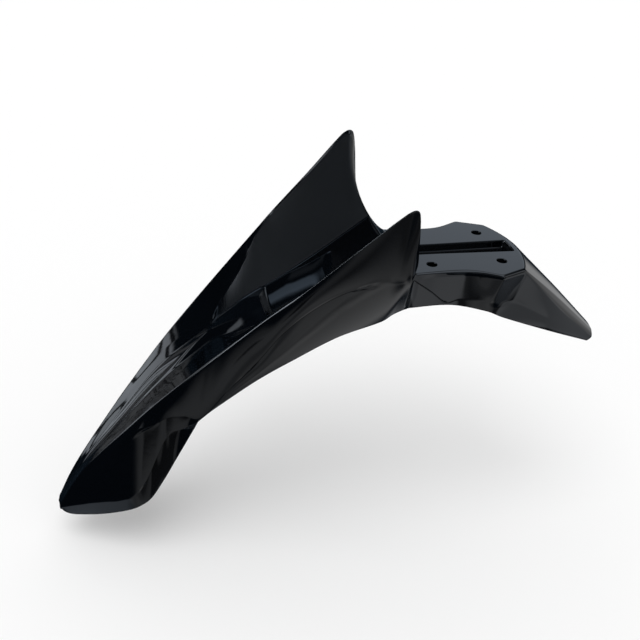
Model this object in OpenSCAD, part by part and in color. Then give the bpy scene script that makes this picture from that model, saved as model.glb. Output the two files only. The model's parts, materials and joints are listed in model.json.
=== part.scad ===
// Motorcycle front mudguard: one moulded shell with a beak, two fins, a bolting plate and a tail.
// X runs to the rear of the machine, Z is up, and Y = 0 is the mirror plane.
// The origin is the centre of the bolt pattern, on the top face of the plate.

/* [Overall] */
// Nose tip ahead of the bolt centre
front_reach = 417; // [392:1:442]
// Nose tip below the plate
nose_drop = 294; // [270:1:312]
// Tail end behind the bolt centre
tail_reach = 168; // [150:1:185]
// Tail end below the plate
tail_drop = 91.5; // [80:0.5:104]
// Moulded wall thickness
wall = 2.5; // [2.2:0.1:3.4]

/* [Fins] */
// Width across the two fins at their tips
fin_span = 209; // [194:1:224]
// Fin tips above the plate
fin_height = 93; // [80:1:106]
// Width of the rounded strip along each fin's top edge
edge_w = 3; // [2:0.5:4]
// Tangent length of the rounding between fin and channel floor
root_round = 2.4; // [1.5:0.1:3.5]

/* [Side panels] */
// Outward swell of the panel between its edges
panel_swell = 4; // [1:0.5:6]
// Step in below the lip beside the beak
lip_step = 4; // [2:0.5:5]
// Height of the shallow step along the panel
crease_step = 0.8; // [0.4:0.1:1.5]
// Depth of the recess in the side of the chin
chin_recess = 5; // [3:0.5:7]
// Bulge of the fold along the chin
chin_fold = 3; // [1:0.5:4]

/* [Bolting plate] */
// Bolt holes, centre to centre along the machine
bolt_x = 76.7; // [70:0.1:84]
// Bolt holes, centre to centre across the machine
bolt_y = 66.5; // [60:0.1:72]
// Bolt hole diameter
hole_d = 10.5; // [8:0.1:12]
// Boss round each bolt hole, under the plate
boss_d = 18; // [15:0.5:20]
// Underside of the bosses below the plate's top face
boss_depth = 8.5; // [6:0.5:11]
// Plate ahead of the front bolt holes
front_margin = 25; // [22:0.5:30]
// Plate behind the rear bolt holes, on the centre line
rear_margin = 31; // [27:0.5:36]
// Plate outboard of the bolt holes at its waist
waist_margin = 15.5; // [12:0.5:20]
// Plate outboard of the bolt holes at its rear corners
corner_margin = 30.5; // [26:0.5:34]
// Rear corners ahead of the rear bolt holes
corner_ahead = 12; // [8:0.5:16]
// Depth of the side wall under the plate
neck_depth = 37; // [30:1:44]

/* [Groove and pocket] */
// Width of the groove down the plate, at the waist
groove_w = 23; // [18:0.5:28]
// Depth of the groove
groove_depth = 8; // [5:0.5:10]
// Width of the pocket in the channel floor
pocket_w = 74; // [62:1:80]
// Depth of the pocket
pocket_depth = 10; // [6:0.5:12]

/* [Hidden] */

plate_front = -bolt_x / 2 - front_margin;
plate_rear = bolt_x / 2 + rear_margin;
waist_y = bolt_y / 2 + waist_margin;
corner_y = bolt_y / 2 + corner_margin;
corner_x = bolt_x / 2 - corner_ahead;

// The points are written at the size drawn and stretched to the driving dimensions.
drawn_front = 63.35;
drawn_reach = 417;
drawn_drop = 294;
drawn_tip = 93;
drawn_span = 209;
drawn_bolts = 76.7;
front_k = (front_reach + plate_front) / (drawn_reach - drawn_front);
drop_k = nose_drop / drawn_drop;
tip_k = fin_height / drawn_tip;
span_k = fin_span / drawn_span;
plate_k = bolt_x / drawn_bolts;
function front(x, y, z) =
    [plate_front + (x + drawn_front) * front_k, y * span_k, z * (z > 0 ? tip_k : drop_k)];
// Plate points are moves away from its own landmarks.
front_edge = [plate_front, waist_y, 0];
waist = [-bolt_x / 4, waist_y, 0];
corner = [corner_x, corner_y, 0];
rear = [plate_rear, corner_y, 0];
neck = [0, 0, -neck_depth];
function from(landmark, x, y, z) = landmark + [x, y, z] * plate_k;
// Tail points are given as shares of the way from the plate's rear edge to the tail's end.
function tail(share, y, z_share) =
    [plate_rear + (tail_reach - plate_rear) * share, y * plate_k, -tail_drop * z_share];

// Guide rails. Each entry is a station number and the rail's point there.
// A station that is written twice is a corner of the rail.
centre_rail = [
    [0, front(-417, 0, -286)], [1, front(-388, 0, -236)], [2, front(-349, 0, -184)],
    [3, front(-309, 0, -134)], [4, front(-256, 0, -80)], [4, front(-256, 0, -80)],
    [5, front(-213, 0, -60)], [6, front(-176, 0, -43)], [7, front(-132, 0, -23)],
    [8, front(-74, 0, 4)], [8, front(-74, 0, 4)], [9, [plate_front - 5 * plate_k, 0, 2.5 * plate_k]],
    [10, [plate_front, 0, 0]], [10, [plate_front, 0, 0]],
    [13, [plate_rear, 0, 0]], [13, [plate_rear, 0, 0]],
    [14, tail(0.47, 0, 0.465)], [15, tail(1, 0, 1)]];
root_rail = [
    [0, front(-416.6, 2.2, -285.6)], [1, front(-387.5, 4.5, -234.5)], [2, front(-348, 9, -182)],
    [3, front(-307, 13, -131)], [4, front(-254, 11, -83)], [4, front(-254, 11, -83)],
    [4.4, front(-240, 20, -75)], [5, front(-214, 29, -61)], [6, front(-176, 38, -44)],
    [7, front(-132, 50, -22)], [8, front(-76, 63, 11)], [8, front(-76, 63, 11)],
    [9, from(front_edge, -6, 6, 4)],
    [10, from(front_edge, 0, 1.5, 0)], [10, from(front_edge, 0, 1.5, 0)],
    [11, from(waist, 0, -0.8, 0)], [11.5, from(waist, 21.2, 2.2, 0)],
    [12, from(corner, 0, -0.8, 0)], [12, from(corner, 0, -0.8, 0)],
    [13, from(rear, -14.3, -12.8, 0)], [13, from(rear, -14.3, -12.8, 0)],
    [14, tail(0.36, 38, 0.4)], [15, tail(0.94, 33, 0.953)]];
band_rail = [
    [0, front(-416.2, 4.5, -285.2)], [1, front(-386.7, 8.5, -232.5)], [2, front(-347, 19, -179)],
    [3, front(-305, 28, -127)], [4, front(-252, 15, -80)], [4, front(-252, 15, -80)],
    [4.4, front(-237, 38, -67)], [5, front(-214, 55, -39)], [5.5, front(-199, 70, -15)],
    [6, front(-180, 83, 6)], [7, front(-138, 92, 49)], [7.7, front(-105, 99.5, 82.5)],
    [8, front(-94, 99.8, 88.5)], [8.3, front(-88.8, 98.3, 76)], [8.6, front(-86.5, 97.2, 54)],
    [8.9, front(-84.8, 94.8, 37)], [9.4, front(-79.5, 74.5, 12)],
    [10, from(front_edge, 0, 3.3, -0.9)], [10, from(front_edge, 0, 3.3, -0.9)],
    [11, from(waist, 0, 1.4, -1)], [11.5, from(waist, 21.2, 4.4, -1)],
    [12, from(corner, 0, 1.4, -1)], [12, from(corner, 0, 1.4, -1)],
    [13, from(rear, -13.7, -10.6, -1)], [13, from(rear, -13.7, -10.6, -1)],
    [14, tail(0.34, 47, 0.42)], [15, tail(0.94, 39, 0.962)]];
ridge_rail = [
    [0, front(-415.5, 8, -285)], [0.5, front(-402.5, 11.5, -257)], [1, front(-385.5, 16, -229)],
    [2, front(-345, 31, -175)], [3, front(-303, 47.3, -123)], [4, front(-262, 60, -77)],
    [5, front(-217, 73, -29)], [6, front(-180, 85, 8)], [7, front(-138, 94.5, 51)],
    [7.7, front(-104.5, 103.5, 86)], [7.9, front(-97.5, 104.5, 91.7)], [8, front(-92.7, 104.3, 93)],
    [8.1, front(-89, 103.7, 90)], [8.3, front(-86.3, 102.5, 76)], [8.6, front(-84, 101.3, 54)],
    [8.9, front(-82.3, 100, 37)], [9.1, front(-81.5, 92.5, 24)], [9.4, front(-77.5, 79.5, 12)],
    [9.7, front(-70.5, 65, 4)], [10, from(front_edge, -1, 4.5, -4)],
    [11, from(waist, 0, 2.7, -4)], [11.5, from(waist, 21.2, 5.7, -4)],
    [12, from(corner, 0, 2.7, -4)], [12, from(corner, 0, 2.7, -4)],
    [13, from(rear, -13.2, -9.3, -4)], [13, from(rear, -13.2, -9.3, -4)],
    [14, tail(0.31, 54, 0.465)], [15, tail(0.92, 44.5, 0.98)]];
lip_rail = [
    [0, front(-415.7, 9.3, -288)], [1, front(-389, 20, -250)], [2, front(-350, 36, -187)],
    [2.4, front(-333, 43, -170)], [2.7, front(-318, 47.3, -160)], [3, front(-303.5, 50.3, -149.5)],
    [3.5, front(-288, 54, -146.5)], [4, front(-271, 58.3, -146)],
    [4.4, front(-248, 65, -111)], [5, front(-221, 71, -77)], [5.5, front(-202, 77.5, -46)],
    [6, front(-184, 82.5, -24)], [6.5, front(-160, 87, -4)], [7, front(-138, 89.5, 7)],
    [7.7, front(-104, 91, 14)], [8.3, front(-88, 92, 14)], [9, front(-78.5, 81, 7)],
    [10, from(front_edge, -0.5, 4.8, -6)], [10.5, from(waist, -23, 3.2, -21)],
    [10.8, from(waist + neck, -6, 3.2, 3)], [11.2, from(waist + neck, 8, 3.4, 6)],
    [12, from(corner + neck, -3, -7, 3)], [13, from(rear + neck, -20, -10, 0)],
    [14, tail(0.29, 57, 0.665)], [15, tail(0.91, 47, 1.016)]];
low_rail = [
    [0, front(-415.3, 9, -293)], [0.5, front(-405, 14, -294)], [1, front(-391.5, 20, -291.5)],
    [1.5, front(-375, 29.5, -285)], [2, front(-357, 38, -277.5)], [2.3, front(-342, 44.5, -270)],
    [2.5, front(-332, 47.5, -263.5)], [2.7, front(-321, 48.3, -254)], [3, front(-307, 47.8, -230)],
    [3.3, front(-295.5, 48, -206)], [3.65, front(-284.5, 51, -180)],
    [4, front(-273.5, 57, -149.5)], [4, front(-273.5, 57, -149.5)],
    [5, front(-221, 64, -105)], [6, front(-183, 67, -80)], [7, front(-140, 66, -58)],
    [8, front(-94, 57.5, -49)], [9, front(-79, 54.5, -41.5)], [9.5, front(-69, 53, -39)],
    [10, from(front_edge + neck, 2, 3, -1.5)], [11, from(waist + neck, 0, 3, -1)],
    [12, from([corner_x, waist_y, 0] + neck, -6, 4, -10.5)],
    [13, from([plate_rear, waist_y, 0] + neck, -26, 7, -19)],
    [14, tail(0.29, 58, 0.814)], [15, tail(0.875, 48, 1.065)]];

// Inward offsets from the rails to the underside, in wall thicknesses.
beak_in = [0.77, 0, -0.64];
floor_in = [0.42, 0, -0.91];
plate_in = [0, 0, -1];
tail_in = [-0.66, 0, -0.75];
centre_inset = [[0, beak_in], [3.6, beak_in], [4.4, floor_in], [8, floor_in],
    [10, plate_in], [12.6, plate_in], [13.6, tail_in], [15, tail_in]];
root_inset = [[0, beak_in], [3.6, beak_in], [4.4, [0.3, 0.6, -1.05]], [8, [0.3, 0.7, -1.1]],
    [9, [0, -0.6, -1]], [10, [0, -1.1, -1]], [12.6, [0, -1, -1]], [13.6, tail_in], [15, tail_in]];
ridge_inset = [[0, [0.8, -0.9, -0.7]], [3, [0.8, -1.1, -0.9]], [4, [0.2, -1.3, -1.6]],
    [5, [0.2, -1.5, -2.9]], [6, [0.3, -1.8, -4.6]], [7, [0.3, -2.2, -6.4]], [7.7, [-0.4, -3, -9.5]],
    [8, [-2, -4.6, -13]], [8.3, [-2, -4, -10]], [9, [-2, -1.6, -2]],
    [10, [0, -1.1, -1]], [13, [-0.3, -1.1, -0.9]], [13.6, [-0.5, -1, -0.6]], [15, [-0.5, -1, -0.6]]];

// Half-width and depth of the recess down the middle: the pocket, then the groove.
half_pocket = pocket_w / 2;
half_groove = groove_w / 2;
recess = [[0, [0.6 * plate_k, 0]], [4, [7 * plate_k, 0]], [5.3, [0.5 * half_pocket, 0]],
    [5.34, [0.56 * half_pocket, 0.4 * pocket_depth]], [5.55, [0.84 * half_pocket, 0.95 * pocket_depth]],
    [6.1, [half_pocket, pocket_depth]], [6.75, [half_pocket, pocket_depth]],
    [7, [1.05 * half_pocket, pocket_depth * 0.85]], [7.25, [1.08 * half_pocket, 0]],
    [7.5, [half_groove * 0.6, 0]], [7.54, [half_groove * 0.8, groove_depth * 0.9]],
    [7.7, [half_groove * 0.92, groove_depth]], [11, [half_groove, groove_depth]],
    [12.8, [half_groove * 1.18, groove_depth]], [12.85, [half_groove * 1.14, 0]],
    [13, [half_groove * 1.18, 0]], [15, [half_groove, 0]]];
recess_draft = 2.5;

// Swell of the side panel, as a share, and depth of the step at the lip, by station.
swell = [[0, 0], [1, 0.3], [2.2, 0], [3, 0], [4, 0.6], [5, 1], [7, 1], [8.5, 0.4], [10, 0], [13, 0],
    [14, 0.4], [15, 0.1]];
step_at = [[0, 0.1], [2.1, 0.1], [2.7, lip_step * 0.7], [3, lip_step], [3.7, lip_step], [4, 0.3],
    [4.4, 0.1], [5, crease_step], [7, crease_step], [7.7, 0.1], [9.7, 0.1], [10, crease_step],
    [10.7, crease_step], [10.95, 0.1], [15, 0.1]];
// Where the fold below the lip lies, as a share of the way down, with its bulge and the recess below it.
fold_at = [[0, 0.3], [0.5, 0.4], [1, 0.58], [1.5, 0.71], [2, 0.81], [2.35, 0.82], [2.6, 0.69],
    [2.77, 0.5], [2.95, 0.34], [3.15, 0.3], [3.5, 0.4], [3.8, 0.5], [4.2, 0.35], [15, 0.35]];
fold_out = [[0, 0.1], [0.5, 0.6], [1, 1], [1.5, 1.1], [2, 0.9], [2.35, 0.5], [2.8, 0.35], [3.3, 0.2],
    [3.8, 0], [15, 0]];
recess_in = [[0, 0], [2.45, 0], [2.62, chin_recess * 0.7], [2.8, chin_recess], [3.45, chin_recess],
    [3.75, chin_recess * 0.4], [3.95, 0], [15, 0]];
// How far the fin's inner face bows away from flat.
fin_bow = [[0, [0, 0, 0]], [7, [0, 0, 0]], [7.7, [-3.5, -0.5, -1.5]], [8, [-8, -1, -3]],
    [8.6, [-6, 0, 0]], [9.4, [0, 0, 0]], [15, [0, 0, 0]]];

// Piecewise straight look-up in a list of [station, value].
function at(list, u, i = 0) =
    i >= len(list) - 2 || u <= list[i + 1][0]
        ? let (a = list[i], b = list[i + 1], t = min(1, max(0, (u - a[0]) / (b[0] - a[0]))))
            a[1] * (1 - t) + b[1] * t
        : at(list, u, i + 1);

// Smooth curve through a rail's points, with corners at the stations written twice.
function slope(rail, i) =
    let (a = max(0, i - 1), b = min(len(rail) - 1, i + 1),
        p = rail[a][0] == rail[i][0] ? i : a, q = rail[b][0] == rail[i][0] ? i : b)
    p == q ? [0, 0, 0] : (rail[q][1] - rail[p][1]) / (rail[q][0] - rail[p][0]);
function segment(rail, u, i = 0) =
    i >= len(rail) - 2 || (u <= rail[i + 1][0] && rail[i + 1][0] > rail[i][0]) ? i : segment(rail, u, i + 1);
function on_rail(rail, u) =
    let (i = segment(rail, u), a = rail[i], b = rail[i + 1], h = b[0] - a[0], t = (u - a[0]) / h)
    (2 * t ^ 3 - 3 * t ^ 2 + 1) * a[1] + (t ^ 3 - 2 * t ^ 2 + t) * h * slope(rail, i)
        + (3 * t ^ 2 - 2 * t ^ 3) * b[1] + (t ^ 3 - t ^ 2) * h * slope(rail, i + 1);

function unit(v) = v / norm(v);
function mix(a, b, t) = a * (1 - t) + b * t;
function panel_normal(u) =
    let (h = 0.05, along = on_rail(low_rail, min(15, u + h)) - on_rail(low_rail, max(0, u - h)),
        across = on_rail(low_rail, u) - on_rail(ridge_rail, u))
    unit(cross(along, across));

// One half section from the centre line out and down to the lower edge.
// The same points serve the outer skin and, with each rail moved in, the underside.
function floor_part(c, r, half, depth, rounding) =
    let (h = min(half, r[1] * 0.92), f = max(h - recess_draft * plate_k, h * 0.4),
        on = function (y) let (t = (y - c[1]) / (r[1] - c[1])) [mix(c[0], r[0], t * t), y, mix(c[2], r[2], t)])
    [on(0) - [0, 0, depth], on(f) - [0, 0, depth], on(h), on(max(r[1] - rounding, (h + r[1]) / 2))];
function section(u, inset) =
    let (
        c = on_rail(centre_rail, u) + inset * at(centre_inset, u),
        r = on_rail(root_rail, u) + inset * at(root_inset, u),
        t0 = on_rail(ridge_rail, u),
        t = t0 + inset * at(ridge_inset, u),
        k0 = on_rail(band_rail, u),
        f = min(0.9, max(0.15, norm(k0 - on_rail(root_rail, u))
            / (norm(k0 - on_rail(root_rail, u)) + norm(t0 - k0)))),
        k = inset > 0 ? mix(r, t, f) : k0,
        n = panel_normal(u),
        down = unit(on_rail(low_rail, u) - t0),
        s = on_rail(lip_rail, u) - inset * n,
        step = at(step_at, u) * plate_k,
        s2 = s - n * step + down * 1.2 * plate_k,
        b = on_rail(low_rail, u) - inset * n,
        e = mix(s2, b, at(fold_at, u)) + n * chin_fold * at(fold_out, u),
        e2 = mix(e, b, 0.06) - n * at(recess_in, u),
        t2 = t + down * edge_w * 0.8 - n * 0.2 * plate_k,
        swell_here = panel_swell * at(swell, u),
        rounding = min(root_round, r[1] * 0.25),
        rec = at(recess, u))
    concat(
        floor_part(c, r, rec[0] + (inset > 0 ? inset * 0.5 : 0), rec[1], rounding),
        [mix(r, k, min(0.25, rounding / norm(k - r)))],
        [for (i = [1:2]) mix(r, k, i / 3) + at(fin_bow, u) * span_k * 4 * i / 3 * (1 - i / 3)],
        [k, t],
        [for (i = [0:2]) mix(t2, s, i / 3) + n * swell_here * 2 * i / 3 * (1 - i / 3)],
        [s, s2, mix(s2, e, 0.5) + n * swell_here * 0.3, e + n * swell_here * 0.4,
            e2 + n * swell_here * 0.4, mix(e2, b, 0.5) + n * swell_here * 0.3, b]);

stations = concat(
    [0, 0.12, 0.25, 0.5, 0.75], [for (i = [0:6]) 1 + i * 0.2], [2.35, 2.5, 2.62, 2.77, 2.95, 3.15],
    [3.45, 3.75, 3.9, 4], [4.2, 4.4, 4.7, 5, 5.3, 5.34, 5.55, 5.8], [6.1, 6.4, 6.75, 7, 7.25, 7.5, 7.54],
    [7.7, 7.8, 7.9, 8, 8.1, 8.2, 8.3, 8.6, 8.9, 9.1, 9.4, 9.7, 10], [10.5, 10.8, 11, 11.25, 11.5, 11.75, 12],
    [12.4, 12.8, 12.85, 13], [13.2, 13.5, 14, 14.5, 15]);
// The underside starts behind the solid tip of the beak.
function inner_station(u) = u < 2 ? 0.5 + u * 0.75 : u;

function mirrored(half) = concat([for (i = [len(half) - 1:-1:1]) [half[i][0], -half[i][1], half[i][2]]], half);

module shell() {
    outer = [for (u = stations) mirrored(section(u, 0))];
    inner = [for (u = stations) mirrored(section(inner_station(u), wall))];
    rows = len(outer);
    cols = len(outer[0]);
    mid = (cols - 1) / 2;
    base = rows * cols;
    last = (rows - 1) * cols;
    points = concat([for (r = outer) each r], [for (r = inner) each r]);
    function quad(a, b, c, d, flip) = flip ? [[a, b, d], [b, c, d]] : [[a, b, c], [a, c, d]];
    skin = [for (i = [0:rows - 2], j = [0:cols - 2]) let (a = i * cols + j)
        each quad(a, a + 1, a + cols + 1, a + cols, j >= mid)];
    under = [for (i = [0:rows - 2], j = [0:cols - 2]) let (a = base + i * cols + j)
        each quad(a, a + cols, a + cols + 1, a + 1, j >= mid)];
    edges = [for (i = [0:rows - 2]) let (a = i * cols, b = a + cols - 1) each concat(
        quad(a, a + cols, base + a + cols, base + a, false),
        quad(b, base + b, base + b + cols, b + cols, true))];
    nose = [for (j = [0:mid - 2]) let (k = cols - 1 - j) each concat(
        quad(j, k, k - 1, j + 1, false),
        quad(base + j, base + j + 1, base + k - 1, base + k, false))];
    nose_ends = [[mid - 1, mid + 1, mid], [base + mid - 1, base + mid, base + mid + 1]];
    nose_rim = quad(0, base, base + cols - 1, cols - 1, false);
    tail_rim = [for (j = [0:cols - 2]) let (a = last + j)
        each quad(a, a + 1, base + a + 1, base + a, j >= mid)];
    polyhedron(points, concat(skin, under, edges, nose, nose_ends, nose_rim, tail_rim), convexity = 8);
}

module at_bolts() {
    for (x = [-1, 1], y = [-1, 1]) translate([x * bolt_x / 2, y * bolt_y / 2, 0]) children();
}

module mudguard() {
    color([0.05, 0.05, 0.06]) difference() {
        union() {
            shell();
            at_bolts() translate([0, 0, -boss_depth]) cylinder(d = boss_d, h = boss_depth - wall / 2, $fn = 48);
        }
        at_bolts() translate([0, 0, -boss_depth - 1]) cylinder(d = hole_d, h = boss_depth + 2, $fn = 48);
    }
}

mudguard();
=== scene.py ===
import json
import math

import bmesh
import bpy
import numpy as np
from mathutils import Matrix, Vector


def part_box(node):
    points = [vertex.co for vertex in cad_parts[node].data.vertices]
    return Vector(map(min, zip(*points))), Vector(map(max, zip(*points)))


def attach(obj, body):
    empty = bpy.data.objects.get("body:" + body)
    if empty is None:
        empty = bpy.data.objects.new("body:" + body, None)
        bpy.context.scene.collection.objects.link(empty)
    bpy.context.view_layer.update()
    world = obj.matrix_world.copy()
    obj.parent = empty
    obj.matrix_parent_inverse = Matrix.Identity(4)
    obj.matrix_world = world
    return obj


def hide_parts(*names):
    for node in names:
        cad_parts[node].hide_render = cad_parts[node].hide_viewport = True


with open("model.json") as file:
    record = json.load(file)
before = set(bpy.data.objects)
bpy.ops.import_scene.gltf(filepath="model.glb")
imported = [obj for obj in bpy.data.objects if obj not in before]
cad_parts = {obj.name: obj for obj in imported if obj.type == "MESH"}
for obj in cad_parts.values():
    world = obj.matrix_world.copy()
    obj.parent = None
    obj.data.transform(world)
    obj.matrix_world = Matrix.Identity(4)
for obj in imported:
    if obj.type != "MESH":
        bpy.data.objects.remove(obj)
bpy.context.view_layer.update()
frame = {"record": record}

# Gloss black front mudguard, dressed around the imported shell.
# Lengths are in millimetres until the mesh is made. X is to the rear, Z is up and Y = 0 is the mirror plane.

MM = 0.001

# Sizes taken from the frame
shell_low, shell_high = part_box("mudguard")
REACH = -shell_low.x / MM
DROP = -shell_low.z / MM
TIP = shell_high.z / MM
HALF_SPAN = shell_high.y / MM
TAIL = shell_high.x / MM
bolts = frame["record"]["mounts"][0]["dims"]
BOLT_X = bolts["spacing_x_mm"]
BOLT_Y = bolts["spacing_y_mm"]
HOLE_R = bolts["hole_r_mm"]

# The plate, as margins round the bolt holes
PLATE_FRONT = -BOLT_X / 2 - 25
PLATE_REAR = BOLT_X / 2 + 31
WAIST_Y = BOLT_Y / 2 + 15.5
CORNER_X = BOLT_X / 2 - 12
CORNER_Y = BOLT_Y / 2 + 30.5
FRONT_EDGE = np.array([PLATE_FRONT, WAIST_Y, 0])
WAIST = np.array([-BOLT_X / 4, WAIST_Y, 0])
CORNER = np.array([CORNER_X, CORNER_Y, 0])
REAR = np.array([PLATE_REAR, CORNER_Y, 0])
NECK = np.array([0, 0, -37])
WAIST_CORNER = np.array([CORNER_X, WAIST_Y, 0]) + NECK
WAIST_REAR = np.array([PLATE_REAR, WAIST_Y, 0]) + NECK
TAIL_DROP = 91.5
BOSS_R = 9
BOSS_DEPTH = 8.5

# Mouldings
WALL = 2.5
SWELL = 4
LIP_STEP = 4
CREASE_STEP = 0.8
CHIN_RECESS = 5
CHIN_FOLD = 3
HALF_GROOVE = 11.5
GROOVE_DEPTH = 8
HALF_POCKET = 37
POCKET_DEPTH = 10
RECESS_DRAFT = 2.5
RIM_ROUND = 0.8
HOLE_RIM = 0.7
LIP_RUN = 1.2

# The size at which the front was drawn
DRAWN_FRONT = 63.35
DRAWN_REACH = 417
DRAWN_DROP = 294.2
DRAWN_TIP = 93
DRAWN_SPAN = 104.5
FRONT_K = (REACH + PLATE_FRONT) / (DRAWN_REACH - DRAWN_FRONT)
DROP_K = DROP / DRAWN_DROP
TIP_K = TIP / DRAWN_TIP
SPAN_K = HALF_SPAN / DRAWN_SPAN


def front(x, y, z):
    return (PLATE_FRONT + (x + DRAWN_FRONT) * FRONT_K, y * SPAN_K, z * (TIP_K if z > 0 else DROP_K))


def near(landmark, x, y, z):
    return landmark + np.array([x, y, z])


def tail(share, y, z_share):
    return (PLATE_REAR + (TAIL - PLATE_REAR) * share, y, -TAIL_DROP * z_share)


# Guide rails: station number and point. A station written twice is a corner.
centre_rail = [
    [0, front(-417, 0, -286)], [1, front(-388, 0, -236)], [2, front(-349, 0, -184)],
    [3, front(-309, 0, -134)], [4, front(-256, 0, -80)], [4, front(-256, 0, -80)],
    [5, front(-213, 0, -60)], [6, front(-176, 0, -43)], [7, front(-132, 0, -23)],
    [8, front(-74, 0, 4)], [8, front(-74, 0, 4)], [9, [PLATE_FRONT - 5, 0, 2.5]],
    [10, [PLATE_FRONT, 0, 0]], [10, [PLATE_FRONT, 0, 0]],
    [13, [PLATE_REAR, 0, 0]], [13, [PLATE_REAR, 0, 0]],
    [14, tail(0.47, 0, 0.465)], [15, tail(1, 0, 1)],
]
root_rail = [
    [0, front(-416.6, 2.2, -285.6)], [1, front(-387.5, 4.5, -234.5)], [2, front(-348, 9, -182)],
    [3, front(-307, 13, -131)], [4, front(-254, 11, -83)], [4, front(-254, 11, -83)],
    [4.4, front(-240, 20, -75)], [5, front(-214, 29, -61)], [6, front(-176, 38, -44)],
    [7, front(-132, 50, -22)], [8, front(-76, 63, 11)], [8, front(-76, 63, 11)],
    [9, near(FRONT_EDGE, -6, 6, 4)],
    [10, near(FRONT_EDGE, 0, 1.5, 0)], [10, near(FRONT_EDGE, 0, 1.5, 0)],
    [11, near(WAIST, 0, -0.8, 0)], [11.5, near(WAIST, 21.2, 2.2, 0)],
    [12, near(CORNER, 0, -0.8, 0)], [12, near(CORNER, 0, -0.8, 0)],
    [13, near(REAR, -14.3, -12.8, 0)], [13, near(REAR, -14.3, -12.8, 0)],
    [14, tail(0.36, 38, 0.4)], [15, tail(0.94, 33, 0.953)],
]
band_rail = [
    [0, front(-416.2, 4.5, -285.2)], [1, front(-386.7, 8.5, -232.5)], [2, front(-347, 19, -179)],
    [3, front(-305, 28, -127)], [4, front(-252, 15, -80)], [4, front(-252, 15, -80)],
    [4.4, front(-237, 38, -67)], [5, front(-214, 55, -39)], [5.5, front(-199, 70, -15)],
    [6, front(-180, 83, 6)], [7, front(-138, 92, 49)], [7.7, front(-105, 99.5, 82.5)],
    [8, front(-94, 99.8, 88.5)], [8.3, front(-88.8, 98.3, 76)], [8.6, front(-86.5, 97.2, 54)],
    [8.9, front(-84.8, 94.8, 37)], [9.4, front(-79.5, 74.5, 12)],
    [10, near(FRONT_EDGE, 0, 3.3, -0.9)], [10, near(FRONT_EDGE, 0, 3.3, -0.9)],
    [11, near(WAIST, 0, 1.4, -1)], [11.5, near(WAIST, 21.2, 4.4, -1)],
    [12, near(CORNER, 0, 1.4, -1)], [12, near(CORNER, 0, 1.4, -1)],
    [13, near(REAR, -13.7, -10.6, -1)], [13, near(REAR, -13.7, -10.6, -1)],
    [14, tail(0.34, 47, 0.42)], [15, tail(0.93, 39, 0.958)],
]
ridge_rail = [
    [0, front(-415.5, 8, -285)], [0.5, front(-402.5, 11.5, -257)], [1, front(-385.5, 16, -229)],
    [2, front(-345, 31, -175)], [3, front(-303, 47.3, -123)], [4, front(-262, 60, -77)],
    [5, front(-217, 73, -29)], [6, front(-180, 85, 8)], [7, front(-138, 94.5, 51)],
    [7.7, front(-104.5, 103.5, 86)], [7.9, front(-97.5, 104.5, 91.7)], [8, front(-92.7, 104.3, 93)],
    [8.1, front(-89, 103.7, 90)], [8.3, front(-86.3, 102.5, 76)], [8.6, front(-84, 101.3, 54)],
    [8.9, front(-82.3, 100, 37)], [9.1, front(-81.5, 92.5, 24)], [9.4, front(-77.5, 79.5, 12)],
    [9.7, front(-70.5, 65, 4)], [10, near(FRONT_EDGE, -1, 4.5, -4)],
    [11, near(WAIST, 0, 2.7, -4)], [11.5, near(WAIST, 21.2, 5.7, -4)],
    [12, near(CORNER, 0, 2.7, -4)], [12, near(CORNER, 0, 2.7, -4)],
    [13, near(REAR, -13.2, -9.3, -4)], [13, near(REAR, -13.2, -9.3, -4)],
    [14, tail(0.31, 54, 0.465)], [15, tail(0.91, 44.5, 0.977)],
]
lip_rail = [
    [0, front(-415.6, 9, -286.6)], [1, front(-389, 20, -250)], [2, front(-350, 36, -187)],
    [2.4, front(-333, 43, -170)], [2.7, front(-318, 47.3, -160)], [3, front(-303.5, 50.3, -149.5)],
    [3.5, front(-288, 54, -146.5)], [4, front(-271, 58.3, -146)],
    [4.4, front(-248, 65, -111)], [5, front(-221, 71, -77)], [5.5, front(-202, 77.5, -46)],
    [6, front(-184, 82.5, -24)], [6.5, front(-160, 87, -4)], [7, front(-138, 89.5, 7)],
    [7.7, front(-104, 91, 14)], [8.3, front(-88, 92, 14)], [9, front(-81, 88, 8)],
    [9, front(-81, 88, 8)], [9.5, front(-71.5, 66, 0)],
    [10, near(FRONT_EDGE, -0.5, 4.8, -6)], [10.5, near(WAIST, -23, 3.2, -21)],
    [10.8, near(WAIST + NECK, -6, 3.2, 3)], [11.2, near(WAIST + NECK, 8, 3.4, 6)],
    [12, near(CORNER + NECK, -3, -7, 3)], [13, near(REAR + NECK, -20, -10, 0)],
    [14, tail(0.29, 57, 0.665)], [15, tail(0.9, 47.2, 1.015)],
]
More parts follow.
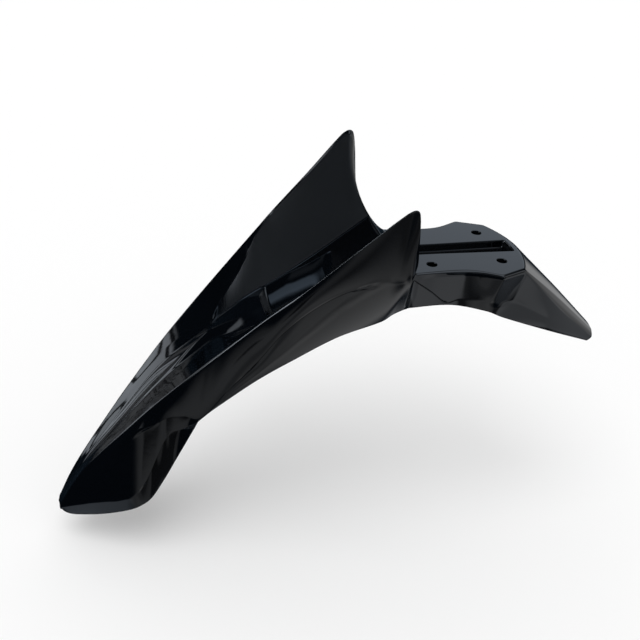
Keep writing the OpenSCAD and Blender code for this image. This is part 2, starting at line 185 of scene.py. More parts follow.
low_rail = [
    [0, front(-414.8, 8.8, -288.5)], [0.22, front(-410.8, 10.8, -292.6)], [0.5, front(-404, 14.2, -294)],
    [1, front(-391.5, 20, -291.5)],
    [1.5, front(-375, 29.5, -285)], [2, front(-357, 38, -277.5)], [2.3, front(-342, 44.5, -270)],
    [2.5, front(-332, 47.5, -263.5)], [2.7, front(-321, 48.3, -254)], [3, front(-307, 47.8, -230)],
    [3.3, front(-295.5, 48, -206)], [3.65, front(-284.5, 51, -180)],
    [4, front(-273.5, 57, -149.5)], [4, front(-273.5, 57, -149.5)],
    [5, front(-221, 64, -105)], [6, front(-183, 67, -80)], [7, front(-140, 66, -58)],
    [8, front(-94, 57.5, -49)], [8.5, front(-81.5, 55, -43)], [9, front(-71, 53.3, -39.5)],
    [9, front(-71, 53.3, -39.5)], [9.5, front(-67.3, 53, -38.8)],
    [10, near(FRONT_EDGE + NECK, 2, 3, -1.5)], [11, near(WAIST + NECK, 0, 3, -1)],
    [12, near(WAIST_CORNER, -6, 4, -10.5)],
    [13, near(WAIST_REAR, -26, 7, -19)],
    [14, tail(0.29, 58, 0.814)], [15, tail(0.84, 48.4, 1.055)],
]

# Offsets from the rails to the underside, in wall thicknesses
BEAK_IN = [0.77, 0, -0.64]
FLOOR_IN = [0.42, 0, -0.91]
PLATE_IN = [0, 0, -1]
TAIL_IN = [-0.66, 0, -0.75]
centre_inset = [[0, BEAK_IN], [3.6, BEAK_IN], [4.4, FLOOR_IN], [8, FLOOR_IN],
    [10, PLATE_IN], [12.6, PLATE_IN], [13.6, TAIL_IN], [15, TAIL_IN],
]
root_inset = [[0, BEAK_IN], [3.6, BEAK_IN], [4.4, [0.3, 0.6, -1.05]], [8, [0.3, 0.7, -1.1]],
    [9, [0, -0.6, -1]], [10, [0, -1.1, -1]], [12.6, [0, -1, -1]], [13.6, TAIL_IN], [15, TAIL_IN],
]
ridge_inset = [[0, [0.8, -0.9, -0.7]], [3, [0.8, -1.1, -0.9]], [4, [0.2, -1.3, -1.6]],
    [5, [0.2, -1.5, -2.9]], [6, [0.3, -1.8, -4.6]], [7, [0.3, -2.2, -6.4]], [7.7, [-0.4, -3, -9.5]],
    [8, [-2, -4.6, -13]], [8.3, [-2, -4, -10]], [9, [-2, -1.6, -2]],
    [10, [0, -1.1, -1]], [13, [-0.3, -1.1, -0.9]], [13.6, [-0.5, -1, -0.6]], [15, [-0.5, -1, -0.6]],
]

# Tables by station: the recess down the middle, then the panel's swell, lip, fold and side recess
recess = [[0, [0.6, 0]], [4, [7, 0]], [5.3, [0.5 * HALF_POCKET, 0]],
    [5.34, [0.56 * HALF_POCKET, 0.4 * POCKET_DEPTH]], [5.55, [0.84 * HALF_POCKET, 0.95 * POCKET_DEPTH]],
    [6.1, [HALF_POCKET, POCKET_DEPTH]], [6.75, [HALF_POCKET, POCKET_DEPTH]],
    [7, [1.05 * HALF_POCKET, POCKET_DEPTH * 0.85]], [7.25, [1.08 * HALF_POCKET, 0]],
    [7.5, [HALF_GROOVE * 0.6, 0]], [7.54, [HALF_GROOVE * 0.8, GROOVE_DEPTH * 0.9]],
    [7.7, [HALF_GROOVE * 0.92, GROOVE_DEPTH]], [11, [HALF_GROOVE, GROOVE_DEPTH]],
    [12.8, [HALF_GROOVE * 1.18, GROOVE_DEPTH]], [12.85, [HALF_GROOVE * 1.14, 0]],
    [13, [HALF_GROOVE * 1.18, 0]], [15, [HALF_GROOVE, 0]],
]
hollowed = [[0, 0], [5.2, 0], [5.4, 1], [7.3, 1], [7.45, 0], [15, 0]]
swell = [[0, 0], [1, 0.3], [2.2, 0], [3, 0], [4, 0.6], [5, 1], [7, 1], [8.5, 0.4], [10, 0], [13, 0],
    [14, 0.4], [15, 0.1],
]
step_at = [[0, 0.1], [2.1, 0.1], [2.7, LIP_STEP * 0.7], [3, LIP_STEP], [3.7, LIP_STEP], [4, 0.3],
    [4.4, 0.1], [5, CREASE_STEP], [7, CREASE_STEP], [7.7, 0.1], [9.7, 0.1], [10, CREASE_STEP],
    [10.7, CREASE_STEP], [10.95, 0.1], [15, 0.1],
]
crease_in = [[0, 0], [4.7, 0], [5, 0.9], [7.2, 0.9], [7.5, 0], [9.75, 0], [9.95, 0.7], [10.7, 0.7],
    [10.9, 0], [15, 0],
]
fold_at = [[0, 0.3], [0.5, 0.4], [1, 0.58], [1.5, 0.71], [2, 0.81], [2.35, 0.82], [2.6, 0.69],
    [2.77, 0.5], [2.95, 0.34], [3.15, 0.3], [3.5, 0.4], [3.8, 0.5], [4.2, 0.35], [15, 0.35],
]
fold_out = [[0, 0.1], [0.5, 0.6], [1, 1], [1.5, 1.1], [2, 0.9], [2.35, 0.5], [2.8, 0.35], [3.3, 0.2],
    [3.8, 0], [15, 0],
]
recess_in = [[0, 0], [2.45, 0], [2.62, CHIN_RECESS * 0.7], [2.8, CHIN_RECESS], [3.45, CHIN_RECESS],
    [3.75, CHIN_RECESS * 0.4], [3.95, 0], [15, 0],
]
fin_bow = [[0, [0, 0, 0]], [7, [0, 0, 0]], [7.7, [-3.5, -0.5, -1.5]], [8, [-8, -1, -3]],
    [8.6, [-6, 0, 0]], [9.4, [0, 0, 0]], [15, [0, 0, 0]],
]

# Rails' corners, with how far round each of them the rail is rounded, before and after
ROUNDED = {
    4: (0.08, 0.08), 8: (0.06, 0.1), 9: (0.08, 0.08),
    10: (0.12, 0.06), 12: (0.05, 0.05), 13: (0.06, 0.05),
}
# Rounding where the wall turns: at the root, the band, the ridge, the lip and the fold
root_round = [[0, 0.5], [1, 3.5], [3.6, 6], [4.2, 2.6], [9.3, 2.8], [10, 0.8], [15, 2]]
band_round = [[0, 1], [1, 3], [3.6, 5], [4, 1.5], [10, 1.2], [15, 1.5]]
ridge_round = [[0, 2], [1, 2.8], [7.5, 2.8], [8, 2], [9, 3], [10, 2], [13, 2], [13.6, 5], [15, 5]]
lip_round = [[0, 8], [2.1, 8], [2.7, 0.6], [3.8, 0.5], [4.4, 0.4], [7, 0.3], [7.8, 8], [9.7, 8],
    [10, 0.4], [10.8, 0.4], [11, 8], [15, 8],
]
fold_round = [[0, 1.5], [2.4, 1.2], [3.6, 1.2], [4, 10], [15, 10]]


def look_up(table, u):
    stations = [row[0] for row in table]
    values = np.array([row[1] for row in table], float)
    if values.ndim == 1:
        return float(np.interp(u, stations, values))
    return np.array([np.interp(u, stations, values[:, i]) for i in range(values.shape[1])])


def soft_look_up(table, u, reach=0.12):
    """The table's value averaged round u, so that it turns gently at its entries."""
    return sum(look_up(table, u + reach * q) for q in (-1, -0.6, -0.2, 0.2, 0.6, 1)) / 6


def slope(rail, i):
    a = max(0, i - 1)
    b = min(len(rail) - 1, i + 1)
    p = i if rail[a][0] == rail[i][0] else a
    q = i if rail[b][0] == rail[i][0] else b
    if p == q:
        return np.zeros(3)
    return (np.array(rail[q][1]) - rail[p][1]) / (rail[q][0] - rail[p][0])


def on_curve(rail, u):
    """The rail's point at station u, with its corners sharp."""
    i = 0
    while i < len(rail) - 2 and (u > rail[i + 1][0] or rail[i + 1][0] == rail[i][0]):
        i += 1
    a, b = rail[i], rail[i + 1]
    h = b[0] - a[0]
    t = (u - a[0]) / h
    return ((2 * t ** 3 - 3 * t ** 2 + 1) * np.array(a[1]) + (t ** 3 - 2 * t ** 2 + t) * h * slope(rail, i)
            + (3 * t ** 2 - 2 * t ** 3) * np.array(b[1]) + (t ** 3 - t ** 2) * h * slope(rail, i + 1))


def on_rail(rail, u):
    """The rail's point at station u, with its corners rounded."""
    for row, following in zip(rail, rail[1:]):
        if row[0] != following[0]:
            continue
        before, after = ROUNDED[row[0]]
        if row[0] - before < u < row[0] + after:
            t = (u - row[0] + before) / (before + after)
            a = on_curve(rail, row[0] - before)
            b = on_curve(rail, row[0] + after)
            return (1 - t) ** 2 * a + 2 * t * (1 - t) * np.array(row[1]) + t * t * b
    return on_curve(rail, u)


def unit(v):
    return v / max(1e-9, np.linalg.norm(v))


def mix(a, b, t):
    return a * (1 - t) + b * t


def panel_normal(u):
    reach = 0.05
    along = on_rail(low_rail, min(15, u + reach)) - on_rail(low_rail, max(0, u - reach))
    across = on_rail(low_rail, u) - on_rail(ridge_rail, u)
    return unit(np.cross(along, across))


def bulge(t):
    return 4 * t * (1 - t)


def smooth(t):
    t = min(1, max(0, t))
    return t * t * (3 - 2 * t)


def turned(before, corner, after, steps):
    """A rounded corner between two points."""
    points = []
    for i in range(steps + 1):
        q = i / steps
        points.append(mix(mix(before, corner, q), mix(corner, after, q), q))
    return points


def stepped(before, upper, lower, after, steps):
    """A rounded step between two points."""
    points = []
    for i in range(steps + 1):
        q = i / steps
        points.append((1 - q) ** 3 * before + 3 * (1 - q) ** 2 * q * upper
                      + 3 * (1 - q) * q * q * lower + q ** 3 * after)
    return points


def along(span, start, end, count):
    """Points strictly between two places on a span."""
    return [span(mix(start, end, (i + 1) / (count + 1))) for i in range(count)]


def section(u, inset, fine):
    """Half a section, from the middle out and down to the lower edge. Fine sections have more points."""
    c = on_rail(centre_rail, u) + inset * soft_look_up(centre_inset, u)
    r0 = on_rail(root_rail, u)
    r = r0 + inset * soft_look_up(root_inset, u)
    t0 = on_rail(ridge_rail, u)
    t = t0 + inset * soft_look_up(ridge_inset, u)
    k0 = on_rail(band_rail, u)
    to_band = np.linalg.norm(k0 - r0)
    f = min(0.9, max(0.15, to_band / (to_band + np.linalg.norm(t0 - k0))))
    k = mix(r, t, f) if inset else k0
    n = panel_normal(u)
    down = unit(on_rail(low_rail, u) - t0)
    s = on_rail(lip_rail, u) - inset * n
    s2 = s - n * soft_look_up(step_at, u, 0.05) + down * LIP_RUN
    b = on_rail(low_rail, u) - inset * n
    groove = 0 if inset else soft_look_up(crease_in, u, 0.08)
    swell_here = SWELL * soft_look_up(swell, u, 0.3) * 0.5
    bow = soft_look_up(fin_bow, u)
    half, depth = look_up(recess, u)
    hollow = soft_look_up(hollowed, u, 0.05)
    half = min(half + inset * 0.5, r[1] * 0.92)
    flat = mix(max(half - RECESS_DRAFT, half * 0.4), 0, hollow)
    fold = soft_look_up(fold_at, u, 0.06)
    raised = CHIN_FOLD * soft_look_up(fold_out, u)
    sunk = soft_look_up(recess_in, u, 0.06)
    below = mix(fold, 1, 0.06)

    def floor(y):
        share = (y - c[1]) / (r[1] - c[1])
        into = min(1, max(0, (y - flat) / (half - flat)))
        sink = depth * (1 - mix(smooth(into), into ** 2.4, hollow))
        return np.array([mix(c[0], r[0], share * share), y, mix(c[2], r[2], share) - sink])

    def outer_floor(q):
        return floor(mix(half, r[1], q))

    def inner_face(q):
        return mix(r, k, q) + bow * bulge(q)

    def band(q):
        return mix(k, t, q)

    def panel(q):
        return mix(t, s, q) + n * swell_here * bulge(q)

    def lower_panel(q):
        lift = raised * (q / fold if q < fold else (1 - q) / (1 - fold))
        drop = sunk * (0 if q < below else (1 - q) / (1 - below))
        return mix(s2, b, q) + n * (swell_here * bulge(q) + lift - drop)

    def size(span, start=0, end=1):
        return max(1e-6, np.linalg.norm(span(end) - span(start)))

    steps = 6 if fine else 2
    step_points = 8 if fine else 3
    lengths = [size(outer_floor), size(inner_face), size(band), size(panel), size(lower_panel)]
    root = min(look_up(root_round, u), 0.4 * lengths[0], 0.4 * lengths[1])
    edge = min(look_up(band_round, u), 0.4 * lengths[1], 0.4 * lengths[2])
    ridge = min(look_up(ridge_round, u), 0.4 * lengths[2], 0.4 * lengths[3])
    lip = min(soft_look_up(lip_round, u), 0.4 * lengths[3], 0.4 * fold * lengths[4])
    turn = min(soft_look_up(fold_round, u), 0.3 * lengths[4] * fold, 0.4 * lengths[4] * (1 - below))

    level = max(half - RECESS_DRAFT, half * 0.4)
    points = [floor(level * q) for q in ((0, 0.3, 0.6, 0.85) if fine else (0, 0.5))]
    side = (0, 0.15, 0.3, 0.45, 0.6, 0.75, 0.88, 1) if fine else (0, 0.5, 1)
    points += [floor(mix(level, half, q)) for q in side]
    points += along(outer_floor, 0, 1 - root / lengths[0], 6 if fine else 2)
    points += turned(outer_floor(1 - root / lengths[0]), r, inner_face(root / lengths[1]), steps)
    points += along(inner_face, root / lengths[1], 1 - edge / lengths[1], 8 if fine else 3)
    points += turned(inner_face(1 - edge / lengths[1]), k, band(edge / lengths[2]), steps if fine else 1)
    points += turned(band(1 - ridge / lengths[2]), t, panel(ridge / lengths[3]), steps)
    points += along(panel, ridge / lengths[3], 1 - lip / lengths[3], 14 if fine else 4)
    points += stepped(panel(1 - lip / lengths[3]), s - n * groove, s2 - n * groove,
                      lower_panel(lip / lengths[4]), step_points)
    points += along(lower_panel, lip / lengths[4], fold - turn / lengths[4], 7 if fine else 2)
    points += stepped(lower_panel(fold - turn / lengths[4]), lower_panel(fold), lower_panel(below),
                      lower_panel(below + turn / lengths[4]), step_points)
    if not fine:
        return np.array(points + along(lower_panel, below + turn / lengths[4], 1, 2) + [b])
    rim = min(RIM_ROUND, 0.3 * lengths[4]) / lengths[4]
    points += along(lower_panel, below + turn / lengths[4], 1 - rim, 8)
    points += turned(lower_panel(1 - rim), b, b - n * RIM_ROUND, 4)
    return np.array(points)


def stations():
    """Station numbers, closer together where the shell turns."""
    ranges = [(0.06, 1, 14), (1, 2.2, 14), (2.2, 3.2, 26), (3.2, 3.8, 10), (3.8, 4.4, 16), (4.4, 5.25, 12),
              (5.25, 5.6, 12), (5.6, 6.8, 14), (6.8, 7.4, 12), (7.4, 7.75, 12), (7.75, 8.5, 26),
              (8.5, 9.6, 24), (9.6, 10.2, 16), (10.2, 11.6, 22), (11.6, 12.3, 18), (12.3, 12.75, 5),
              (12.75, 12.9, 8), (12.9, 13.2, 10), (13.2, 14.8, 16), (14.8, 15, 4)]
    return [lo + (hi - lo) * i / n for lo, hi, n in ranges for i in range(n)] + [15]


def inner_station(u):
    return 0.5 + u * 0.75 if u < 2 else u


def mirrored(half):
    other = half[:0:-1] * np.array([1, -1, 1])
    return np.vstack([other, half])


NOSE_ROWS = 6
NOSE_FACE = 0.62
# A fine section's points on a fin's inner face, counted from the middle, and where along it they are satin
FIN_FACE = (22, 34)
SATIN_START = 4.2
SATIN_END = 8.1


def nose_rows(first, tip):
    """Rows that round the nose off, from its front face back to the first full section."""
    rows = []
    middle, ahead = first.mean(axis=0), tip.mean(axis=0)
    for i in range(NOSE_ROWS):
        turn = math.radians(90 * i / NOSE_ROWS)
        spread = NOSE_FACE + (1 - NOSE_FACE) * math.sin(turn)
        rows.append(mix(ahead, middle, 1 - math.cos(turn)) + (first - middle) * spread)
    return rows


def zip_rim(faces, left, right, points):
    """Joins two runs of points that needn't match one to one."""
    def shares(run):
        steps = [0.0]
        for a, b in zip(run, run[1:]):
            steps.append(steps[-1] + float(np.linalg.norm(points[b] - points[a])))
        return [step / steps[-1] for step in steps]
    a_share, b_share = shares(left), shares(right)
    i = j = 0
    while i < len(left) - 1 or j < len(right) - 1:
        if j == len(right) - 1 or (i < len(left) - 1 and a_share[i + 1] < b_share[j + 1]):
            faces.append((left[i], left[i + 1], right[j]))
            i += 1
        else:
            faces.append((left[i], right[j + 1], right[j]))
            j += 1


def satin_finish(rows, cols, count):
    """How satin each point is: the fins' inner faces have a finer grain than the rest."""
    values = np.zeros(count)
    for i, u in enumerate(rows):
        here = smooth((u - SATIN_START) / 0.5) * (1 - smooth((u - SATIN_END) / 0.3))
        for j in range(*FIN_FACE):
            for column in (cols // 2 + j, cols // 2 - j):
                values[(i + NOSE_ROWS) * cols + column] = here
    return values


def make_shell():
    rows = stations()
    outer = [mirrored(section(u, 0, True)) for u in rows]
    inner = [mirrored(section(inner_station(u), WALL, False)) for u in rows]
    outer = nose_rows(outer[0], mirrored(section(0, 0, True))) + outer
    count, cols = len(outer), len(outer[0])
    inner_cols = len(inner[0])
    points = np.vstack(outer + inner)
    base = count * cols
    faces = []
    for i in range(count - 1):
        for j in range(cols - 1):
            a = i * cols + j
            faces.append((a, a + 1, a + cols + 1, a + cols))
    for i in range(len(inner) - 1):
        for j in range(inner_cols - 1):
            a = base + i * inner_cols + j
            faces.append((a, a + inner_cols, a + inner_cols + 1, a + 1))
    # The lower edges, the bottom of the nose and its front face
    for i in range(NOSE_ROWS):
        a = i * cols
        faces.append((a, a + cols, a + 2 * cols - 1, a + cols - 1))
    for i in range(len(inner) - 1):
        a = (i + NOSE_ROWS) * cols
        b = base + i * inner_cols
        faces.append((a, a + cols, b + inner_cols, b))
        c = a + cols - 1
        d = b + inner_cols - 1
        faces.append((c, d, d + inner_cols, c + cols))
    first = NOSE_ROWS * cols
    faces.append((first, base, base + inner_cols - 1, first + cols - 1))
    for start, width, flip in ((0, cols, False), (base, inner_cols, True)):
        for j in range(width // 2):
            k = start + width - 1 - j
            cap = (start + j, k, k - 1, start + j + 1)
            if j == width // 2 - 1:
                cap = (start + j, k, start + j + 1)
            faces.append(cap[::-1] if flip else cap)
    last = list(range((count - 1) * cols, count * cols))
    inner_last = list(range(len(points) - inner_cols, len(points)))
    zip_rim(faces, last, inner_last, points)
    mesh = bpy.data.meshes.new("mudguard_shell")
    mesh.from_pydata((points * MM).tolist(), [], faces)
    satin = mesh.attributes.new("satin", "FLOAT", "POINT")
    satin.data.foreach_set("value", satin_finish(rows, cols, len(points)))
    bm = bmesh.new()
    bm.from_mesh(mesh)
    bmesh.ops.recalc_face_normals(bm, faces=bm.faces)
    bm.to_mesh(mesh)
    bm.free()
    mesh.validate()
    mesh.update()
    obj = bpy.data.objects.new("mudguard_shell", mesh)
    bpy.context.scene.collection.objects.link(obj)
    return obj


def turned_solids(name, profile):
    """One closed turned solid at each bolt hole, from radii and heights listed top to bottom."""
    bm = bmesh.new()
    sides = 64
    for x in (-BOLT_X / 2, BOLT_X / 2):
        for y in (-BOLT_Y / 2, BOLT_Y / 2):
            rings = []
            for radius, z in profile:
                rings.append([bm.verts.new(((x + radius * math.cos(2 * math.pi * i / sides)) * MM,
                                            (y + radius * math.sin(2 * math.pi * i / sides)) * MM, z * MM))
                              for i in range(sides)])
            for upper, lower in zip(rings, rings[1:]):
                for i in range(sides):
                    bm.faces.new((upper[i], lower[i], lower[(i + 1) % sides], upper[(i + 1) % sides]))
            bm.faces.new(rings[0])
            bm.faces.new(rings[-1][::-1])
    bmesh.ops.recalc_face_normals(bm, faces=bm.faces)
    mesh = bpy.data.meshes.new(name)
    bm.to_mesh(mesh)
    bm.free()
    obj = bpy.data.objects.new(name, mesh)
    bpy.context.scene.collection.objects.link(obj)
    return obj


def combine_solids(shell, other, operation):
    step = shell.modifiers.new(operation.lower(), "BOOLEAN")
    step.operation = operation
    step.solver = "EXACT"
    step.object = other
    bpy.context.view_layer.objects.active = shell
    bpy.ops.object.modifier_apply(modifier=step.name)
    bpy.data.objects.remove(other)


def bore(shell):
    """Bosses under the plate, and holes with rounded rims through them."""
    boss = [(BOSS_R, -WALL / 2), (BOSS_R, 0.5 - BOSS_DEPTH), (BOSS_R - 0.5, -BOSS_DEPTH)]
    combine_solids(shell, turned_solids("bosses", boss), "UNION")
    profile = [(HOLE_R + HOLE_RIM + 2, 2), (HOLE_R + HOLE_RIM, 0.0)]
    for i in range(1, 6):
        turn = math.radians(18 * i)
        profile.append((HOLE_R + HOLE_RIM * (1 - math.sin(turn)), HOLE_RIM * (math.cos(turn) - 1)))
    profile.append((HOLE_R, -BOSS_DEPTH - 1))
    combine_solids(shell, turned_solids("bores", profile), "DIFFERENCE")


SHARP_ANGLE = math.radians(38)


def shade(shell):
    """Smooth shading that keeps the moulding's sharp folds."""
    for face in shell.data.polygons:
        face.use_smooth = True
    shell.data.set_sharp_from_angle(angle=SHARP_ANGLE)
    weight = shell.modifiers.new("even_normals", "WEIGHTED_NORMAL")
    weight.keep_sharp = True
    weight.weight = 60


def moulded_plastic():
    """Gloss black injection-moulded plastic: faint waviness, uneven gloss and fine dust in the finish."""
    material = bpy.data.materials.new("gloss_black_plastic")
    material.use_nodes = True
    nodes = material.node_tree.nodes
    links = material.node_tree.links
    shader = nodes["Principled BSDF"]
    shader.inputs["IOR"].default_value = 1.5
    shader.inputs["Specular IOR Level"].default_value = 0.5
    place = nodes.new("ShaderNodeTexCoord")

    def noise(scale, detail):
        node = nodes.new("ShaderNodeTexNoise")
        node.inputs["Scale"].default_value = scale
        node.inputs["Detail"].default_value = detail
        links.new(place.outputs["Object"], node.inputs["Vector"])
        return node.outputs["Fac"]

    def remap(value, low, high):
        node = nodes.new("ShaderNodeMapRange")
        node.inputs["To Min"].default_value = low
        node.inputs["To Max"].default_value = high
        links.new(value, node.inputs["Value"])
        return node.outputs["Result"]

    tint = nodes.new("ShaderNodeValToRGB")
    tint.color_ramp.elements[0].color = (0.0004, 0.0006, 0.001, 1)
    tint.color_ramp.elements[1].color = (0.0008, 0.001, 0.0016, 1)
    links.new(noise(14, 3), tint.inputs["Fac"])
    links.new(tint.outputs["Color"], shader.inputs["Base Color"])
    satin = nodes.new("ShaderNodeAttribute")
    satin.attribute_name = "satin"
    rough = nodes.new("ShaderNodeMath")
    rough.operation = "MULTIPLY_ADD"
    rough.inputs[1].default_value = 0.34
    links.new(satin.outputs["Fac"], rough.inputs[0])
    links.new(remap(noise(22, 4), 0.02, 0.07), rough.inputs[2])
    links.new(rough.outputs["Value"], shader.inputs["Roughness"])
    peel = nodes.new("ShaderNodeBump")
    peel.inputs["Strength"].default_value = 0.03
    peel.inputs["Distance"].default_value = 0.0006
    links.new(noise(160, 2), peel.inputs["Height"])
    links.new(peel.outputs["Normal"], shader.inputs["Normal"])
    return material


# Camera at the photograph's viewing angle
CAMERA_AT = Vector((-0.38048, -0.77326, 0.40275))
CAMERA_RIGHT = Vector((0.96457763, -0.25175504, 0.07879967))
CAMERA_DOWN = Vector((-0.06367246, -0.51206695, -0.85658231))
CAMERA_FORWARD = Vector((0.25599962, 0.82122277, -0.50995819))
FOCAL_PIXELS = 900
IMAGE_PIXELS = 640
SENSOR = 36


def make_camera():
    data = bpy.data.cameras.new("camera")
    data.sensor_width = SENSOR
    data.lens = SENSOR * FOCAL_PIXELS / IMAGE_PIXELS
    data.clip_end = 100
    obj = bpy.data.objects.new("camera", data)
    bpy.context.scene.collection.objects.link(obj)
    turn = Matrix((CAMERA_RIGHT, -CAMERA_DOWN, -CAMERA_FORWARD)).transposed()
    obj.matrix_world = Matrix.Translation(CAMERA_AT) @ turn.to_4x4()
    bpy.context.scene.camera = obj


FLOOR_Z = -0.33
STAGE_SIZE = 60


def make_floor():
    bpy.ops.mesh.primitive_plane_add(size=STAGE_SIZE, location=(0, 0, FLOOR_Z))
    floor = bpy.context.object
    floor.name = "floor"
    floor.visible_glossy = False
    material = bpy.data.materials.new("pale_floor")
    material.use_nodes = True
    shader = material.node_tree.nodes["Principled BSDF"]
    shader.inputs["Base Color"].default_value = (0.93, 0.93, 0.93, 1)
    shader.inputs["Roughness"].default_value = 0.9
    shader.inputs["Specular IOR Level"].default_value = 0
    floor.data.materials.append(material)


# Studio panels as reflections meet them: the middle's azimuth and elevation, half the width and height, the
# softness of the sides and of the top and bottom, the slope, the strength and the coldness. Angles are in
# degrees. The last five panels light the sides that the camera doesn't see.
PANELS = {
    "window_over_plate": (60, 26, 22, 15, 4, 4, 0, 0.68, 0.8),
    "overhead": (0, 74, 75, 14, 12, 5, 0, 1.35, 0.8),
    "window_over_beak": (134, 4, 8.5, 11, 0.8, 1, 0, 1.35, 0.5),
    "shelves_over_beak": (119, -5, 6, 10, 1.5, 2, 0, 0.2, 0.1),
    "window_over_pocket": (121, 50, 10, 7, 4, 4, 0.9, 0.62, 1.6),
    "flash_on_deck": (117.5, 30.5, 3.2, 2, 0.8, 0.8, 0, 0.75, 0.6),
    "wall_by_fin": (-112, 46, 42, 23, 8, 6, 0, 0.19, 0.6),
    "wall_by_fin_tip": (-98, 27, 10, 5, 5, 4, 0, 0.25, 1),
    "wall_by_fin_edge": (-58, 26, 18, 8, 6, 4, 0, 0.5, 1),
    "strip_at_fin_edge": (-168, 48, 26, 1.5, 4, 1.2, 0, 2, 0.5),
    "strip_at_near_ridge": (178, 24, 13, 10, 3, 3, 0, 9, 0.6),
    "wall_by_neck": (-46, -14, 31, 17.5, 2.5, 1.5, 0, 0.66, 0.3),
    "wall_by_tail": (12, -3, 32, 11, 6, 3, -0.3, 0.75, 0),
    "wall_under_plate": (-18, -42, 20, 12, 6, 4, 0, 0.16, 0.5),
    "ground_base": (-89, -41, 33, 20.5, 3.5, 5, 0, 0.22, 0.1),
    "ground_slope": (-62, -53, 20, 4.5, 7, 5, -0.3, 0.26, 0),
    "ground_rear": (-14, -62, 38, 6, 10, 4, 0, 0.48, 0),
    "ground_front": (-108, -36, 10, 8, 5, 4, 0, 0.16, 0.2),
    "ground_by_neck": (-38, -35, 12, 4.5, 5, 3, 0, 0.3, 0.2),
    "ground_at_chin": (-140, -55, 22, 9, 6, 4, 0, 0.4, 0.8),
    "high_front": (180, 57, 36, 8, 8, 3, 0, 0.12, 0.8),
    "side_window": (-28, 25, 27, 13, 8, 5, 0, 0.8, 0.4),
    "high_side": (-38, 55, 32, 8, 8, 5, 0, 0.5, 0.5),
    "high_rear": (40, 54, 34, 8, 8, 5, 0, 0.5, 0.5),
    "front_window": (-141, 11, 19, 10, 4, 3, 0, 0.8, 0.5),
    "ground_far": (97, -54, 60, 17, 12, 6, 0, 0.3, 0.1),
}
# Dark bars across the panels, placed in the same way, with how dark each is
BARS = {
    "upper_bar": (133, 13.3, 12, 0.8, 1, 0.4, 0.4, 0.97),
    "middle_bar": (128.7, 1, 2, 3, 0.5, 1, 5, 0.97),
    "lower_bar": (135, -0.3, 2, 3, 0.5, 1, 5, 0.97),
    "dim_corner": (-72, -35, 16, 6, 7, 3, -0.3, 0.6),
    "dark_by_chin": (-108, -27, 4.5, 4.5, 1.5, 1.5, 0, 0.8),
    "lowest_bar": (138, -4, 3, 1.2, 1, 0.5, -0.5, 0.97),
}
# Where small dark things stand in front of the shelves
CLUTTER = (116, -8, 9, 9, 1, 1, 0)
CLUTTER_WIDTH = 0.035
CLUTTER_DARKNESS = 0.9
DIM_ROOM = (0.012, 0.02, 0.03)
COLD_RED = 0.14
COLD_BLUE = 0.18


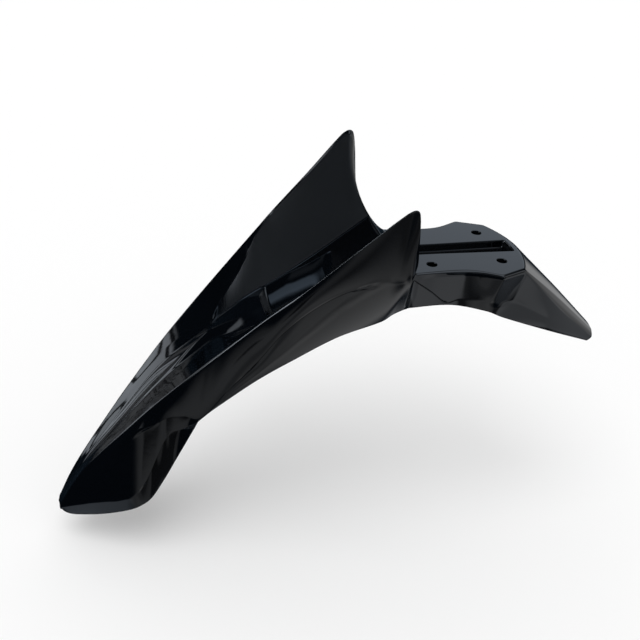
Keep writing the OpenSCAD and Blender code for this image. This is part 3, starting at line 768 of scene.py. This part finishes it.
def make_surround():
    """A studio dome that only reflections see: dim, with soft bright panels round the mudguard."""
    bpy.ops.mesh.primitive_uv_sphere_add(segments=48, ring_count=24, radius=STAGE_SIZE)
    dome = bpy.context.object
    dome.name = "studio_dome"
    for ray in ("camera", "diffuse", "transmission", "volume_scatter", "shadow"):
        setattr(dome, "visible_" + ray, False)
    material = bpy.data.materials.new("studio_panels")
    material.use_nodes = True
    nodes = material.node_tree.nodes
    links = material.node_tree.links
    nodes.clear()
    out = nodes.new("ShaderNodeOutputMaterial")
    glow = nodes.new("ShaderNodeEmission")
    links.new(glow.outputs["Emission"], out.inputs["Surface"])
    place = nodes.new("ShaderNodeTexCoord")
    aim = nodes.new("ShaderNodeVectorMath")
    aim.operation = "NORMALIZE"
    links.new(place.outputs["Object"], aim.inputs[0])
    split = nodes.new("ShaderNodeSeparateXYZ")
    links.new(aim.outputs["Vector"], split.inputs["Vector"])

    def join(node, values):
        for value, socket in zip(values, node.inputs):
            if isinstance(value, bpy.types.NodeSocket):
                links.new(value, socket)
            else:
                socket.default_value = value
        return node

    def calculate(operation, *values):
        node = nodes.new("ShaderNodeMath")
        node.operation = operation
        return join(node, values).outputs["Value"]

    def blend(operation, *values):
        node = nodes.new("ShaderNodeVectorMath")
        node.operation = operation
        return join(node, values).outputs["Vector"]

    def soft_side(offset, half, softness):
        node = nodes.new("ShaderNodeMapRange")
        node.interpolation_type = "SMOOTHSTEP"
        away = calculate("ABSOLUTE", offset)
        return join(node, (away, half - softness, half + softness, 1.0, 0.0)).outputs["Result"]

    azimuth = calculate("DEGREES", calculate("ARCTAN2", split.outputs["Y"], split.outputs["X"]))
    elevation = calculate("DEGREES", calculate("ARCSINE", split.outputs["Z"]))

    def patch(middle, height, half_width, half_height, soft_ends, soft_top, tilt):
        across = calculate("WRAP", calculate("SUBTRACT", azimuth, middle), 180.0, -180.0)
        up = calculate("SUBTRACT", elevation, calculate("MULTIPLY_ADD", across, tilt, height))
        beside = soft_side(across, half_width, soft_ends)
        return calculate("MULTIPLY", beside, soft_side(up, half_height, soft_top))

    def scaled(color, amount):
        node = nodes.new("ShaderNodeVectorMath")
        node.operation = "SCALE"
        join(node, (color,))
        links.new(amount, node.inputs["Scale"])
        return node.outputs["Vector"]

    total = DIM_ROOM
    for *place_of, strength, cold in PANELS.values():
        color = (strength * (1 - COLD_RED * cold), strength, strength * (1 + COLD_BLUE * cold))
        total = blend("ADD", scaled(color, patch(*place_of)), total)
    pattern = nodes.new("ShaderNodeTexNoise")
    pattern.inputs["Scale"].default_value = 26
    pattern.inputs["Detail"].default_value = 3
    pattern.inputs["Distortion"].default_value = 1.2
    links.new(aim.outputs["Vector"], pattern.inputs["Vector"])
    edges = soft_side(calculate("SUBTRACT", pattern.outputs["Fac"], 0.5), CLUTTER_WIDTH, 0.02)
    clutter = calculate("MULTIPLY", patch(*CLUTTER), edges)
    total = scaled(total, calculate("MULTIPLY_ADD", clutter, -CLUTTER_DARKNESS, 1.0))
    for *place_of, darkness in BARS.values():
        total = scaled(total, calculate("MULTIPLY_ADD", patch(*place_of), -darkness, 1.0))
    links.new(total, glow.inputs["Color"])
    dome.data.materials.append(material)


# The world's level on the object, and the soft key lamp over it
ROOM_LEVEL = 0.79
KEY_LEVEL = 1.0
KEY_ANGLE = math.radians(50)


def make_light():
    """Plain soft studio light, with a white background where it is seen or reflected."""
    world = bpy.data.worlds.new("world")
    bpy.context.scene.world = world
    world.use_nodes = True
    nodes = world.node_tree.nodes
    links = world.node_tree.links
    back = nodes["Background"]
    path = nodes.new("ShaderNodeLightPath")
    seen = nodes.new("ShaderNodeMath")
    seen.operation = "MAXIMUM"
    links.new(path.outputs["Is Camera Ray"], seen.inputs[0])
    links.new(path.outputs["Is Glossy Ray"], seen.inputs[1])
    through = nodes.new("ShaderNodeMath")
    through.operation = "MAXIMUM"
    links.new(seen.outputs["Value"], through.inputs[0])
    links.new(path.outputs["Is Transmission Ray"], through.inputs[1])
    level = nodes.new("ShaderNodeMapRange")
    level.inputs["To Min"].default_value = ROOM_LEVEL
    level.inputs["To Max"].default_value = 1.0
    links.new(through.outputs["Value"], level.inputs["Value"])
    links.new(level.outputs["Result"], back.inputs["Strength"])
    back.inputs["Color"].default_value = (1, 1, 1, 1)
    sun = bpy.data.lights.new("soft_key", "SUN")
    sun.energy = KEY_LEVEL
    sun.angle = KEY_ANGLE
    lamp = bpy.data.objects.new("soft_key", sun)
    lamp.rotation_euler = (math.radians(20), math.radians(-15), 0)
    lamp.visible_glossy = False
    bpy.context.scene.collection.objects.link(lamp)


make_camera()
make_floor()
make_surround()
make_light()

shell = make_shell()
bore(shell)
shade(shell)
shell.data.materials.append(moulded_plastic())
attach(shell, "root")
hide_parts("mudguard")

bpy.context.scene.view_settings.view_transform = "Standard"
